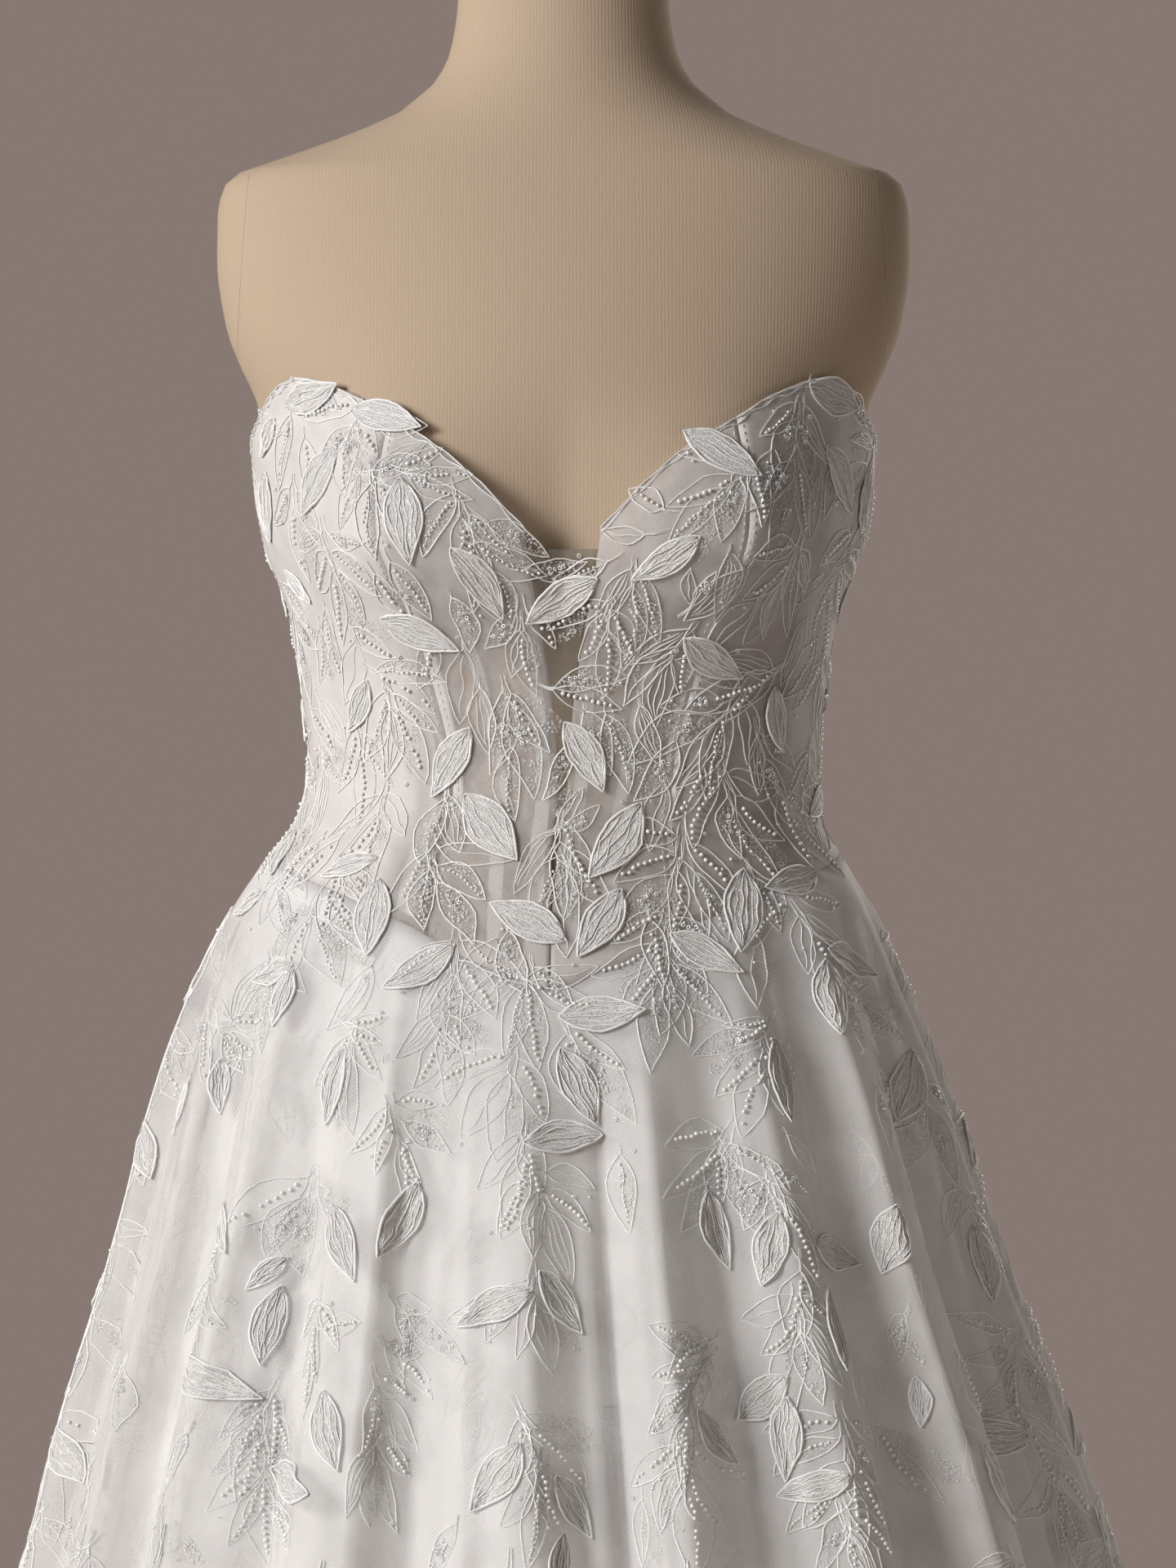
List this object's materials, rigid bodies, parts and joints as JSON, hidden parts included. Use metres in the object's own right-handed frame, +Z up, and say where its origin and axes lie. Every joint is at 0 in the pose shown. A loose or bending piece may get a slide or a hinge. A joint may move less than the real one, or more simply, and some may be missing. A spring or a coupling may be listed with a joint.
{
  "type": "a-line wedding dress on a limbless dress form with its stand",
  "caption": "Strapless floor-length A-line gown with a plunging sweetheart bodice, sheer insert, leaf applique and folded skirt over an underskirt, on a limbless dress form and stand.",
  "frame": {"origin": "centre of the overall box at the floor, under the stand's base plate", "axes": "+Z up, the dress faces -Y, the wearer's left is +X"},
  "size_m": [0.9747, 0.9687, 1.5133],
  "materials": {
    "lace": "ivory corded leaf lace over net",
    "tulle": "soft ivory tulle with leaf lace",
    "satin": "soft white satin",
    "mesh": "fine sheer skin-tone mesh",
    "bone": "smooth translucent boning channel",
    "form": "beige ribbed jersey over a padded form",
    "steel": "satin dark grey"
  },
  "bodies": {
    "root": {"bodice_back_left": "lace", "bodice_back_right": "lace", "bodice_centre_front_left": "lace", "bodice_centre_front_right": "lace", "bodice_side_back_left": "lace", "bodice_side_back_right": "lace", "bodice_side_front_left": "lace", "bodice_side_front_right": "lace", "bone_middle_left": "bone", "bone_middle_right": "bone", "bone_plunge_left": "bone", "bone_plunge_right": "bone", "bone_princess_left": "bone", "bone_princess_right": "bone", "form_arm_cap_left": "form", "form_arm_cap_right": "form", "form_neck_cap": "form", "form_torso": "form", "plunge_insert": "mesh", "skirt_back_left": "tulle", "skirt_back_right": "tulle", "skirt_front": "tulle", "stand_base": "steel", "stand_collar": "steel", "stand_pole": "steel", "underskirt_back_left": "satin", "underskirt_back_right": "satin", "underskirt_front": "satin"}
  },
  "joints": []
}
